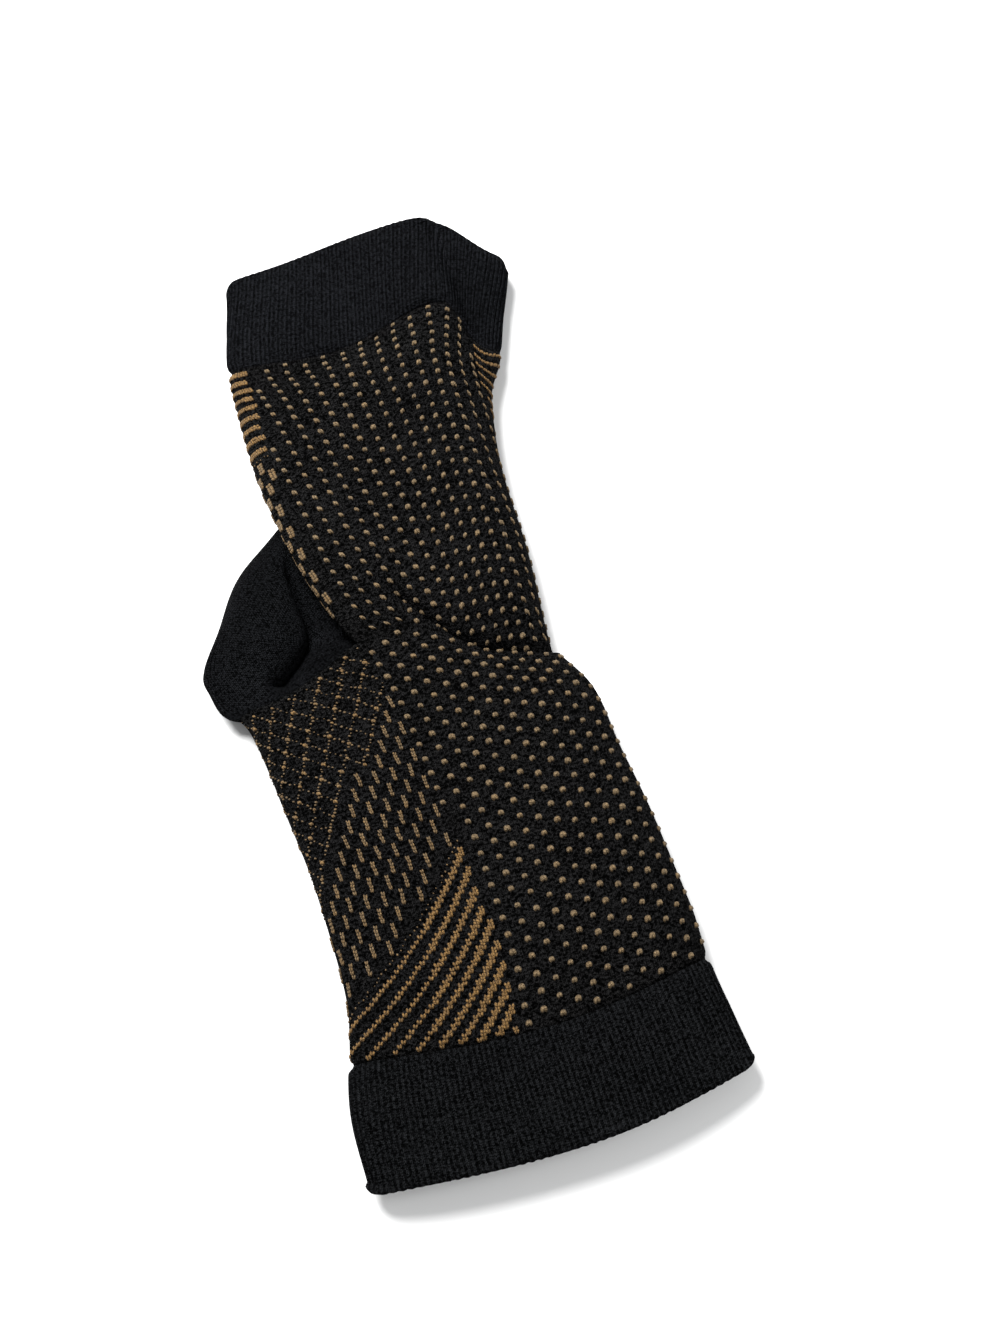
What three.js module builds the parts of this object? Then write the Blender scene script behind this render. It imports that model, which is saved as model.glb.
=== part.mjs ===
// A toeless knitted ankle brace sock, lying flat on its side.
// Millimetres, +Z up. The sock lies along Y with its leg opening at +Y and its toe opening
// at -Y, and the heel points to -X. The origin is under the middle of the sock, on the floor.

import * as THREE from 'three';
import { ParametricGeometry } from 'three/addons/geometries/ParametricGeometry.js';
import { mergeVertices } from 'three/addons/utils/BufferGeometryUtils.js';

// Walls and gaps
const TUBE_WALL = 1.6; // patterned compression knit, two yarns thick
const CUFF_WALL = 2.0; // doubled welt
const HEEL_WALL = 1.6; // plain heel knit
const GAP = 0.3; // between two zones of the knit
const RIM_ROUND = 0.7; // how far a turned welt edge rounds out

// Where the cuffs end, measured along each half of the sock
const LEG_CUFF_LENGTH = 24.5;
const FOOT_CUFF_START = 82;

// Mesh density
const RING_STEPS = 48; // round a tube, half of them on the upper layer
const CUFF_ROWS = 5;
const LEG_ROWS = 15;
const FOOT_ROWS = 17;
const HEEL_ROWS = 13;
const HEEL_STEPS = 30; // from the upper mouth edge round the heel to the lower one

// Shape of a ring: a lower layer flattened by the floor, under a softly rolled upper layer
const RIDGE_WIDTH = 0.28; // of a ridge, as a share of half the width
const UNDER_FULLNESS = 8; // how square the lower layer turns up at the side folds
const UNDER_PRESS = 1.06; // over 1, so that the lower layer is pressed flat on the floor
const TUCK_FROM = -0.62; // across the leg, from here to the back edge it lies on the heel
const TUCK_TO = -0.3;
const ANKLE_RUN = 16; // the leg's last rows come round to the ankle line over this length
const HEEL_RUN = 8; // and so do the heel's

// Sections across the leg half, a row for each, from the leg opening to the ankle line.
// at: distance along the leg. leftX, leftY, rightX, rightY: the two side folds. bow: how far the
// middle stands off the line between them along Y, most at bowAt (0 right, 1 left) and levelling out
// as bowPower says. crown: height of the upper layer. ridge: extra height at ridgeAt (-1 left,
// 1 right). leftZ, rightZ: height of the side folds. leftFull, rightFull: how square the upper layer
// turns down to them. lift: how high the back edge lies on the heel. under: how far the lower layer
// is set along Y.
const LEG_SECTIONS = [
  { at: 0, leftX: -32, leftY: 113.6, rightX: 40.5, rightY: 106.8,
    bow: 10.2, bowAt: 0.28, bowPower: 2, crown: 9.2, ridge: 2.2, ridgeAt: 0.5,
    leftZ: 4.2, rightZ: 4.2, leftFull: 5, rightFull: 3, lift: 0, under: -3 },
  { at: 24.5, leftX: -35, leftY: 88.4, rightX: 33.9, rightY: 80.7,
    bow: 13, bowAt: 0.17, bowPower: 5, crown: 9.6, ridge: 2.0, ridgeAt: 0.62,
    leftZ: 4.4, rightZ: 4.4, leftFull: 4.5, rightFull: 3, lift: 0, under: 0 },
  { at: 36, leftX: -34.6, leftY: 76, rightX: 29, rightY: 70,
    bow: 10.4, bowAt: 0.25, bowPower: 1.9, crown: 12.2, ridge: 0.8, ridgeAt: 0.62,
    leftZ: 5.2, rightZ: 5, leftFull: 3.6, rightFull: 3.2, lift: 0, under: 0 },
  { at: 50, leftX: -33.4, leftY: 63.5, rightX: 27.4, rightY: 57.5,
    bow: 8.5, bowAt: 0.32, bowPower: 1.5, crown: 12.8, ridge: 0, ridgeAt: 0.5,
    leftZ: 5.6, rightZ: 5.2, leftFull: 3.4, rightFull: 3.4, lift: 0.5, under: 0 },
  { at: 62, leftX: -31.8, leftY: 50.5, rightX: 27.4, rightY: 46.5,
    bow: 7.5, bowAt: 0.36, bowPower: 1.5, crown: 13.2, ridge: 0, ridgeAt: 0.5,
    leftZ: 7.6, rightZ: 5.2, leftFull: 3.6, rightFull: 3.6, lift: 5, under: 0 },
  { at: 77, leftX: -29, leftY: 37, rightX: 28.3, rightY: 31.5,
    bow: 7, bowAt: 0.4, bowPower: 1.5, crown: 13.8, ridge: 0, ridgeAt: 0.5,
    leftZ: 10, rightZ: 5.2, leftFull: 4, rightFull: 3.6, lift: 6.6, under: 0 },
  { at: 92, leftX: -24, leftY: 22.5, rightX: 28.8, rightY: 16,
    bow: 7, bowAt: 0.45, bowPower: 1.5, crown: 14, ridge: 0, ridgeAt: 0.5,
    leftZ: 10.6, rightZ: 5, leftFull: 6, rightFull: 3.6, lift: 6.6, under: 0 },
  { at: 107, leftX: -16, leftY: 7.5, rightX: 29.4, rightY: -1.2,
    bow: 5, bowAt: 0.5, bowPower: 1.5, crown: 13.4, ridge: 0, ridgeAt: 0.5,
    leftZ: 11.8, rightZ: 4.8, leftFull: 12, rightFull: 3.6, lift: 6.6, under: 0 },
];

// Sections across the foot half, from the ankle line to the toe opening, with the same columns.
const FOOT_SECTIONS = [
  { at: 0, leftX: -47, leftY: -3.8, rightX: 31, rightY: -2.5,
    bow: 12, bowAt: 0.5, bowPower: 3.2, crown: 13.2, ridge: 0, ridgeAt: 0,
    leftZ: 4.8, rightZ: 4.8, leftFull: 3.4, rightFull: 3.6, lift: 0, under: 0 },
  { at: 9, leftX: -44.4, leftY: -11, rightX: 37, rightY: -13,
    bow: 6.5, bowAt: 0.5, bowPower: 2.4, crown: 13.4, ridge: 0, ridgeAt: 0,
    leftZ: 5, rightZ: 5.2, leftFull: 3.4, rightFull: 3.6, lift: 0, under: 0 },
  { at: 22, leftX: -40.6, leftY: -27, rightX: 40.3, rightY: -28.5,
    bow: 1.5, bowAt: 0.5, bowPower: 1.6, crown: 13, ridge: 0, ridgeAt: 0,
    leftZ: 5, rightZ: 5.2, leftFull: 3.6, rightFull: 3.8, lift: 0, under: 0 },
  { at: 46, leftX: -36, leftY: -53, rightX: 44.6, rightY: -51,
    bow: -2, bowAt: 0.45, bowPower: 1, crown: 12.2, ridge: 0, ridgeAt: 0,
    leftZ: 4.8, rightZ: 5, leftFull: 4, rightFull: 4, lift: 0, under: 0 },
  { at: 68, leftX: -34.4, leftY: -75, rightX: 47.4, rightY: -69.5,
    bow: -4, bowAt: 0.45, bowPower: 1, crown: 11.4, ridge: 0, ridgeAt: 0,
    leftZ: 4.6, rightZ: 4.8, leftFull: 4.2, rightFull: 4.2, lift: 0, under: 0 },
  { at: 82, leftX: -35.8, leftY: -90, rightX: 48.4, rightY: -82,
    bow: -5.3, bowAt: 0.45, bowPower: 1, crown: 9.6, ridge: 0, ridgeAt: 0,
    leftZ: 4.4, rightZ: 4.4, leftFull: 4.5, rightFull: 4.5, lift: 0, under: 0 },
  { at: 97, leftX: -37.4, leftY: -104, rightX: 51.6, rightY: -95,
    bow: -5.2, bowAt: 0.45, bowPower: 1, crown: 9.4, ridge: 0, ridgeAt: 0,
    leftZ: 4.3, rightZ: 4.4, leftFull: 5, rightFull: 4, lift: 0, under: 1 },
  { at: 113, leftX: -37.4, leftY: -118.9, rightX: 53.8, rightY: -107.4,
    bow: -5, bowAt: 0.42, bowPower: 1, crown: 9.2, ridge: 0, ridgeAt: 0,
    leftZ: 4.2, rightZ: 4.4, leftFull: 5, rightFull: 3.6, lift: 0, under: 3 },
];

// Sections across the heel pocket, from its tip under the leg to the ankle line.
// rimX, rimY: the outer fold. mouthX, mouthY: the open edge under the leg. puff: height behind the
// outer fold. valley: height from the fold line to the mouth. rimZ: height of the outer fold.
const HEEL_SECTIONS = [
  { at: 0, rimX: -25.5, rimY: 48, mouthX: -20, mouthY: 47.5, puff: 4.6, valley: 4.6, rimZ: 2.3 },
  { at: 7, rimX: -33.2, rimY: 41.5, mouthX: -20.5, mouthY: 40, puff: 6.8, valley: 5.6, rimZ: 3.4 },
  { at: 18, rimX: -42, rimY: 31.6, mouthX: -18, mouthY: 31, puff: 10.4, valley: 6, rimZ: 4.6 },
  { at: 30, rimX: -48.4, rimY: 20, mouthX: -14.5, mouthY: 22, puff: 11.8, valley: 6, rimZ: 4.8 },
  { at: 41, rimX: -53.85, rimY: 8.6, mouthX: -11, mouthY: 15, puff: 11.8, valley: 6, rimZ: 4.8 },
  { at: 48, rimX: -51.9, rimY: 2.1, mouthX: -9.5, mouthY: 11, puff: 11.4, valley: 6, rimZ: 4.8 },
  { at: 53, rimX: -47.4, rimY: -3.2, mouthX: -9, mouthY: 8.6, puff: 11, valley: 6, rimZ: 4.8 },
];
const HEEL_FULLNESS = 3; // how square the heel turns over at its outer fold
const HEEL_VALLEY_FROM = -0.35; // across the heel: the puffed rim ends here
const HEEL_VALLEY_TO = 0.2; // and from here to the mouth it lies low under the leg

// Folds pressed into the upper layer: a valley from one plan point to another.
const FOLDS = [
  { name: 'instep crease, upper end',
    fromX: -8.5, fromY: 21.5, toX: 3, toY: 7.8, startDepth: 0, endDepth: 3.6, width: 3.5 },
  { name: 'instep crease, middle',
    fromX: 3, fromY: 7.8, toX: 13.2, toY: -0.1, startDepth: 3.6, endDepth: 5, width: 4 },
  { name: 'instep crease, lower end',
    fromX: 13.2, fromY: -0.1, toX: 32, toY: -3, startDepth: 5, endDepth: 3, width: 4 },
  { name: 'leg cuff, turned side',
    fromX: 24, fromY: 120, toX: 27.1, toY: 85.4, startDepth: 1.2, endDepth: 1.6, width: 2.8 },
];

const BLACK_KNIT = { color: 0x1d1e22, roughness: 0.92, metalness: 0 };
const GOLD_BLACK_KNIT = { color: 0x2a2620, roughness: 0.9, metalness: 0 };

const { clamp, lerp, smoothstep } = THREE.MathUtils;

// Every column of a table at a place along it, on a smooth curve through its rows.
function sectionAt(table, at) {
  let row = 0;
  while (row < table.length - 2 && at > table[row + 1].at) row += 1;
  const near = table[row];
  const far = table[row + 1];
  const before = table[Math.max(row - 1, 0)];
  const after = table[Math.min(row + 2, table.length - 1)];
  const span = far.at - near.at;
  const t = (at - near.at) / span;
  const section = {};
  for (const column of Object.keys(near)) {
    const leaving = ((far[column] - before[column]) / (far.at - before.at)) * span;
    const arriving = ((after[column] - near[column]) / (after.at - near.at)) * span;
    section[column] =
      near[column] * (1 + 2 * t) * (1 - t) ** 2 + leaving * t * (1 - t) ** 2 +
      far[column] * t * t * (3 - 2 * t) + arriving * t * t * (t - 1);
  }
  return section;
}

// A hump of height 1 at the place peak, level at both ends.
function hump(place, peak, power) {
  const turn = place < peak ? (0.5 * place) / peak : 1 - (0.5 * (1 - place)) / (1 - peak);
  return Math.sin(Math.PI * clamp(turn, 0, 1)) ** power;
}

// How deep the folds press the upper layer at a plan point.
function foldDepth(x, y) {
  let deepest = 0;
  for (const fold of FOLDS) {
    const runX = fold.toX - fold.fromX;
    const runY = fold.toY - fold.fromY;
    const offX = x - fold.fromX;
    const offY = y - fold.fromY;
    const along = clamp((offX * runX + offY * runY) / (runX ** 2 + runY ** 2), 0, 1);
    const away = Math.hypot(offX - along * runX, offY - along * runY);
    const depth = lerp(fold.startDepth, fold.endDepth, along) * Math.exp(-((away / fold.width) ** 2));
    deepest = Math.max(deepest, depth);
  }
  return deepest;
}

// Where the leg and the heel meet the foot: the plan line of the foot's first section.
function ankleLineY(x) {
  const first = FOOT_SECTIONS[0];
  const place = clamp((first.rightX - x) / (first.rightX - first.leftX), 0, 1);
  return lerp(first.rightY, first.leftY, place) + first.bow * hump(place, first.bowAt, first.bowPower);
}

// A point of a ring. turn goes once round it: 0 at the right fold, over the upper layer to the left
// fold at 0.5, and back under the lower layer. inset moves the point into the wall. meetsFoot goes
// to 1 where the ring ends on the ankle line.
function ringPoint(section, turn, inset, meetsFoot, target) {
  const upper = turn <= 0.5;
  const sweep = upper ? 1 - 4 * turn : 4 * turn - 3;
  const across = Math.sin((Math.PI / 2) * sweep);
  const place = (1 - across) / 2;

  const width = Math.hypot(section.rightX - section.leftX, section.rightY - section.leftY);
  const slide = lerp(inset / width, 1 - inset / width, place);
  const x = lerp(section.rightX, section.leftX, slide);
  let y = lerp(section.rightY, section.leftY, slide);
  y += section.bow * hump(place, section.bowAt, section.bowPower);
  if (!upper) y += section.under * (1 - across ** 4);
  y = lerp(y, ankleLineY(x) + GAP, meetsFoot);

  const fold = lerp(section.rightZ, section.leftZ, place);
  let z;
  if (upper) {
    const full = across > 0 ? section.rightFull : section.leftFull;
    const roll = Math.sqrt(1 - Math.abs(across) ** full);
    const ridge = section.ridge * Math.exp(-(((across - section.ridgeAt) / RIDGE_WIDTH) ** 2));
    const crown = section.crown + ridge - foldDepth(x, y) - inset;
    z = fold + (crown - fold) * roll;
  } else {
    const lift = Math.max(section.lift, 0) * (1 - smoothstep(across, TUCK_FROM, TUCK_TO));
    const floor = lift + inset;
    const roll = UNDER_PRESS * Math.sqrt(1 - Math.abs(across) ** UNDER_FULLNESS);
    z = Math.max(fold - (fold - floor) * roll, floor);
  }
  target.set(x, y, z);
}

// A tube through part of a table, hollow and open at both ends, as one closed wall.
function tubeGeometry(table, from, to, rows, wall, ends) {
  const { meetsFoot = false, roundFrom = false, roundTo = false } = ends;
  const loop = [];
  for (let row = 0; row <= rows; row += 1) loop.push({ at: lerp(from, to, row / rows), inset: 0 });
  if (roundTo) loop.push({ at: to + RIM_ROUND, inset: wall / 2 });
  for (let row = rows; row >= 0; row -= 1) loop.push({ at: lerp(from, to, row / rows), inset: wall });
  if (roundFrom) loop.push({ at: from - RIM_ROUND, inset: wall / 2 });
  loop.push(loop[0]);
  const steps = loop.length - 1;
  const knit = new ParametricGeometry((u, v, target) => {
    const { at, inset } = loop[Math.round(v * steps)];
    const meeting = meetsFoot ? smoothstep(at, to - ANKLE_RUN, to) : 0;
    ringPoint(sectionAt(table, at), u % 1, inset, meeting, target);
  }, RING_STEPS, steps);
  return closedSolid(knit);
}

// A point of the heel pocket. turn goes from the upper mouth edge round the outer fold to the
// lower mouth edge.
function heelPoint(section, turn, inset, meetsFoot, target) {
  const upper = turn <= 0.5;
  const sweep = upper ? 1 - 4 * turn : 4 * turn - 3;
  const across = Math.sin((Math.PI / 2) * sweep);
  const place = (1 - across) / 2;
  const width = Math.hypot(section.rimX - section.mouthX, section.rimY - section.mouthY);
  const slide = place * (1 - inset / width);
  const x = lerp(section.mouthX, section.rimX, slide);
  const ankle = ankleLineY(x) + GAP;
  const y = Math.max(lerp(lerp(section.mouthY, section.rimY, slide), ankle, meetsFoot), ankle);

  const roll = across < 0 ? Math.sqrt(1 - Math.abs(across) ** HEEL_FULLNESS) : 1;
  const low = smoothstep(across, HEEL_VALLEY_FROM, HEEL_VALLEY_TO);
  const ceiling = lerp(section.puff, section.valley, low) - inset;
  const floor = inset;
  const z = upper
    ? section.rimZ + (ceiling - section.rimZ) * roll
    : Math.max(section.rimZ - (section.rimZ - floor) * UNDER_PRESS * roll, floor);
  target.set(x, y, z);
}

// The heel pocket: a plate bent round into a pouch that is open to the leg and to the foot.
function heelGeometry() {
  const plate = new THREE.BoxGeometry(1, 1, 1, HEEL_STEPS, HEEL_ROWS, 1);
  const corners = plate.getAttribute('position');
  const length = HEEL_SECTIONS[HEEL_SECTIONS.length - 1].at;
  const point = new THREE.Vector3();
  for (let i = 0; i < corners.count; i += 1) {
    const turn = corners.getX(i) + 0.5;
    const at = (0.5 - corners.getY(i)) * length;
    const inset = corners.getZ(i) < 0 ? 0 : HEEL_WALL;
    const meeting = smoothstep(at, length - HEEL_RUN, length);
    heelPoint(sectionAt(HEEL_SECTIONS, at), turn, inset, meeting, point);
    corners.setXYZ(i, point.x, point.y, point.z);
  }
  return closedSolid(plate);
}

// Joins the seams of a geometry, so that it is one closed body.
function closedSolid(geometry) {
  geometry.deleteAttribute('normal');
  geometry.deleteAttribute('uv');
  const solid = mergeVertices(geometry, 1e-4);
  solid.computeVertexNormals();
  return solid;
}

function zone(name, geometry, finish) {
  const mesh = new THREE.Mesh(geometry, new THREE.MeshStandardMaterial(finish));
  mesh.name = name;
  return mesh;
}

const legEnd = LEG_SECTIONS[LEG_SECTIONS.length - 1].at;
const footEnd = FOOT_SECTIONS[FOOT_SECTIONS.length - 1].at;

const legStart = LEG_CUFF_LENGTH + GAP;
const footStop = FOOT_CUFF_START - GAP;
const legCuff = tubeGeometry(
  LEG_SECTIONS, 0, LEG_CUFF_LENGTH, CUFF_ROWS, CUFF_WALL, { roundFrom: true },
);
const legTube = tubeGeometry(
  LEG_SECTIONS, legStart, legEnd, LEG_ROWS, TUBE_WALL, { meetsFoot: true },
);
const footTube = tubeGeometry(FOOT_SECTIONS, 0, footStop, FOOT_ROWS, TUBE_WALL, {});
const footCuff = tubeGeometry(
  FOOT_SECTIONS, FOOT_CUFF_START, footEnd, CUFF_ROWS, CUFF_WALL, { roundTo: true },
);

const sock = new THREE.Group();
sock.add(zone('leg_cuff', legCuff, BLACK_KNIT));
sock.add(zone('leg_tube', legTube, GOLD_BLACK_KNIT));
sock.add(zone('heel_pocket', heelGeometry(), BLACK_KNIT));
sock.add(zone('foot_tube', footTube, GOLD_BLACK_KNIT));
sock.add(zone('foot_cuff', footCuff, BLACK_KNIT));

export default sock;
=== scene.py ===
import math

import bmesh
import bpy
import numpy as np
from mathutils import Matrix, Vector


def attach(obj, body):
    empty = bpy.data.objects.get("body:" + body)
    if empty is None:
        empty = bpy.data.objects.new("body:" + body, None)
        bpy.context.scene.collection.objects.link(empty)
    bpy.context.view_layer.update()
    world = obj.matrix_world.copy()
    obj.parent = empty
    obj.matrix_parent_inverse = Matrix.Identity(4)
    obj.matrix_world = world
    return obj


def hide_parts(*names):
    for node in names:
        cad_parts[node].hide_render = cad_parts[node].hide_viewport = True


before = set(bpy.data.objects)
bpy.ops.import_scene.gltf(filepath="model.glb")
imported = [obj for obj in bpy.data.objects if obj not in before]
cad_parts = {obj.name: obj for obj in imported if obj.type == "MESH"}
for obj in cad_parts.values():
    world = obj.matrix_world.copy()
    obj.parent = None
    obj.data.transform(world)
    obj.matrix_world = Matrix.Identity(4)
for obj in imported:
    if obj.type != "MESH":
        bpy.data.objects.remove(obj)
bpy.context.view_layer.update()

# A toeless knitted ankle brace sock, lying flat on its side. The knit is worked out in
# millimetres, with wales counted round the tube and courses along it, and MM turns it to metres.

MM = 0.001
SEED = 11

# Walls, and the round of a turned welt edge
TUBE_WALL = 1.6
CUFF_WALL = 2.0
HEEL_WALL = 1.6
RIM_ROUND = 0.7
FLOOR_CLEAR = 0.02
STITCH_CLEAR = 0.3  # the tubes lie on their gold stitches

# Where the cuffs end, measured along each half of the sock
LEG_CUFF_LENGTH = 24.5
FOOT_CUFF_START = 82.0

# Shape of a ring: a lower layer flattened by the floor, under a softly rolled upper layer
RIDGE_WIDTH = 0.28
UNDER_FULLNESS = 8
UNDER_PRESS = 1.06
TUCK_FROM = -0.62
TUCK_TO = -0.3
ANKLE_RUN = 16.0
HEEL_RUN = 8.0


def table(columns, *rows):
    """A table as one array for each named column."""
    return dict(zip(columns.split(), np.array(rows, float).T))


SECTION_COLUMNS = (
    "at left_x left_y right_x right_y bow bow_at bow_power crown ridge ridge_at "
    "left_z right_z left_full right_full lift under front"
)
# Sections across the leg half, from the leg opening to the ankle line. front is the place of the
# middle of the front panel, from 0 at the right fold to 1 at the left.
LEG_SECTIONS = table(
    SECTION_COLUMNS,
    (0, -32, 113.6, 40.5, 107, 11, 0.28, 2.0, 9.2, 2.2, 0.5, 4.2, 4.2, 5, 3, 0, -3, 0.52),
    (24.5, -35, 88.4, 33.9, 80.7, 13, 0.17, 5, 9.6, 2.0, 0.62, 4.4, 4.4, 4.5, 3, 0, 0, 0.51),
    (36, -34.6, 76, 29, 70, 10.4, 0.25, 1.9, 12.2, 0.8, 0.62, 5.2, 5, 3.6, 3.2, 0, 0, 0.475),
    (50, -33.4, 63.5, 27.4, 57.5, 8.5, 0.32, 1.5, 12.8, 0, 0.5, 5.6, 5.2, 3.4, 3.4, 0.5, 0, 0.435),
    (62, -31.8, 50.5, 27.4, 46.5, 7.5, 0.36, 1.5, 13.2, 0, 0.5, 7.6, 5.2, 3.6, 3.6, 5, 0, 0.415),
    (77, -29, 37, 28.3, 31.5, 7, 0.4, 1.5, 13.8, 0, 0.5, 10, 5.2, 4, 3.6, 6.6, 0, 0.4),
    (92, -24, 22.5, 28.8, 16, 7, 0.45, 1.5, 14, 0, 0.5, 10.6, 5, 6, 3.6, 6.6, 0, 0.4),
    (107, -16, 7.5, 29.4, -1.2, 5, 0.5, 1.5, 13.4, 0, 0.5, 11.8, 4.8, 12, 3.6, 6.6, 0, 0.4),
)
# Sections across the foot half, from the ankle line to the toe opening
FOOT_SECTIONS = table(
    SECTION_COLUMNS,
    (0, -47, -3.8, 31, -2.5, 12, 0.5, 3.2, 13.2, 0, 0, 4.8, 4.8, 3.4, 3.6, 0, 0, 0.25),
    (9, -44.4, -11, 37, -13, 6.5, 0.5, 2.4, 13.4, 0, 0, 5, 5.2, 3.4, 3.6, 0, 0, 0.24),
    (22, -40.6, -27, 40.3, -28.5, 1.5, 0.5, 1.6, 13, 0, 0, 5, 5.2, 3.6, 3.8, 0, 0, 0.23),
    (46, -36, -53, 44.6, -51, -2, 0.45, 1, 12.2, 0, 0, 4.8, 5, 4, 4, 0, 0, 0.23),
    (68, -34.4, -75, 47.4, -69.5, -4, 0.45, 1, 11.4, 0, 0, 4.6, 4.8, 4.2, 4.2, 0, 0, 0.23),
    (82, -35.8, -90, 48.4, -82, -5.3, 0.45, 1, 9.6, 0, 0, 4.4, 4.4, 4.5, 4.5, 0, 0, 0.23),
    (97, -37.4, -104, 51.6, -95, -5.2, 0.45, 1, 9.4, 0, 0, 4.3, 4.4, 5, 4, 0, 1, 0.23),
    (113, -37.4, -118.9, 53.8, -107.4, -5, 0.42, 1, 9.2, 0, 0, 4.2, 4.4, 5, 3.6, 0, 3, 0.23),
)
# Sections across the heel pocket, from its tip under the leg to the ankle line. gore is the height
# between the heel crease and the leg, and gore_to is where it drops under the leg's edge.
HEEL_SECTIONS = table(
    "at rim_x rim_y mouth_x mouth_y puff gore gore_to valley rim_z",
    (0, -25.5, 48, -20, 47.5, 4.4, 4.4, 0.2, 4.4, 2.2),
    (7, -33.2, 41.5, -20.5, 40, 6.6, 6, 0.25, 5.4, 3.3),
    (18, -42, 31.6, -18, 31, 10.4, 8, 0.34, 6, 4.6),
    (30, -48.4, 20, -14.5, 22, 11.8, 8.8, 0.42, 6, 4.8),
    (41, -53.85, 8.6, -11, 15, 11.8, 9.6, 0.6, 6, 4.8),
    (48, -51.9, 2.1, -9.5, 11, 11.4, 10.4, 0.7, 6, 4.8),
    (53, -47.4, -3.2, -9, 8.6, 11, 11, 0.74, 6, 4.8),
)
HEEL_FULLNESS = 3
HEEL_PUFF_TO = (-0.1, 0.22)
GORE_DROP = 0.2
HEEL_CLEAR = 1.5  # the heel's rows are kept this side of the ankle line


def fold(power, lip, *points):
    """A valley through plan points, each with a depth. It falls off over near on the left of its
    path and over far on the right. lip is how far the left side leans over the valley."""
    return {"power": power, "lip": lip, "path": table("x y depth near far", *points)}


# Folds pressed into the upper layer of the leg and the foot, and of the heel
INSTEP_CREASE = fold(
    1.3, 1.0,
    (32, -3, 2.6, 1.4, 1.8), (21, -1.8, 3.8, 1.4, 1.9), (13.2, -0.1, 5, 1.4, 1.9),
    (8.2, 2.8, 5, 1.4, 1.9), (3, 7.8, 4.4, 1.2, 1.5), (-3.7, 15.6, 3.6, 1.1, 1.2),
    (-8.5, 21.5, 0.8, 0.9, 1), (-11, 25, 0, 0.9, 1),
)
INSTEP_HOLLOW = fold(
    1.8, 0,
    (32, -3, 1.2, 2, 6), (13.2, -0.1, 1.4, 2, 6), (3, 7.8, 1.2, 2, 5), (-3.7, 15.6, 0.6, 2, 4),
    (-10, 23, 0, 2, 4),
)
INSTEP_PUCKER = fold(
    1.6, 0.5,
    (28, 1.2, 0.6, 1.2, 1.6), (19, 4, 0.9, 1.2, 1.6), (12.9, 7.4, 0.7, 1.2, 1.6),
    (8, 10.5, 0, 1.2, 1.6),
)
TURNED_SIDE = fold(
    1.6, 0,
    (24, 121, 1.2, 2.6, 2), (26, 99, 2.0, 2.6, 2), (27.1, 85.4, 1.8, 2.6, 2), (28, 74, 0, 2.6, 2),
)
FOLDS = (INSTEP_CREASE, INSTEP_HOLLOW, INSTEP_PUCKER, TURNED_SIDE)
HEEL_CREASE = fold(
    1.5, 1.3,
    (-39.5, 1.2, 0, 1.5, 3.2), (-35.9, 2.9, 6.2, 1.5, 3.2), (-31.7, 7.3, 6.6, 1.5, 3.2),
    (-28.8, 11.9, 6.2, 1.5, 3.2), (-28.4, 15.5, 5.6, 1.5, 3.2), (-29.3, 21.5, 5, 1.5, 3.2),
    (-30.2, 29, 3.6, 1.5, 3.2), (-29, 37, 0, 1.5, 3.2),
)
GORE_LINE = fold(
    1.4, 0, (-28.6, 10, 1.0, 0.8, 0.8), (-23.3, 9.6, 0.8, 0.8, 0.8), (-17.5, 10.3, 0.6, 0.8, 0.8)
)
HEEL_FOLDS = (HEEL_CREASE, GORE_LINE)

# Stitches: how many go round each zone, and how long a course is along it
FOOT_WALES = 168
LEG_WALES = 124
FOOT_PITCH = table("at pitch", (0, 0.74), (22, 0.8), (46, 0.84), (82, 0.86))
LEG_PITCH = table("at pitch", (24.5, 0.56), (36, 0.6), (50, 0.7), (62, 0.74), (107, 0.75))
CUFF_PITCH = table("at pitch", (0, 0.56), (200, 0.56))
CUFF_WALES = 216
COLUMNS_PER_WALE = 2
SCALLOP = 0.14  # how far the edge of a cuff swells between its ribs
SCALLOP_WALES = 2.4
SCALLOP_DRIFT = 2.7
RIM_ROWS = 5  # of the mesh round the edge of a cuff
INNER_LEAST = 6  # rows inside a tube, where it is plain
INNER_EVERY = 8
CORNER_ROUND = 2.6  # at the side folds of a cuff's edge
CORNER_FROM = 0.93
GROOVE = 0.6  # where a cuff is knitted on to the tube
GROOVE_WIDTH = 1.2
CUFF_RIB = 0.22
CUFF_RIB_WALES = 1.5
CUFF_WAVES = 2.4  # a cuff lies this much more uneven than a tube
TUBE_RIB = 0.05
HEEL_COLUMNS = 260
HEEL_WALE = 0.9
HEEL_PITCH = 0.6
HEEL_RIB = 0.2
HEEL_RIB_WALES = 1.35
HEEL_RIB_WIDE = (5, 8)  # the ribs fade between these wales from the outer fold
HEEL_RIB_FROM = (28, 40)  # and come up between these places along the heel
TUBE_FADE = 3  # rows over which relief fades at the ends of a piece
HEEL_FADE = 10
# Slow waves of loose cloth: height, spread across and along, and start
WAVES = ((0.16, 5.3, 9.1, 0.4), (0.14, 8.7, -6.1, 2.1), (0.1, 3.9, 14.0, 4.0))
ROW_STEP = 0.6  # between rows of the mesh

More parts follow.
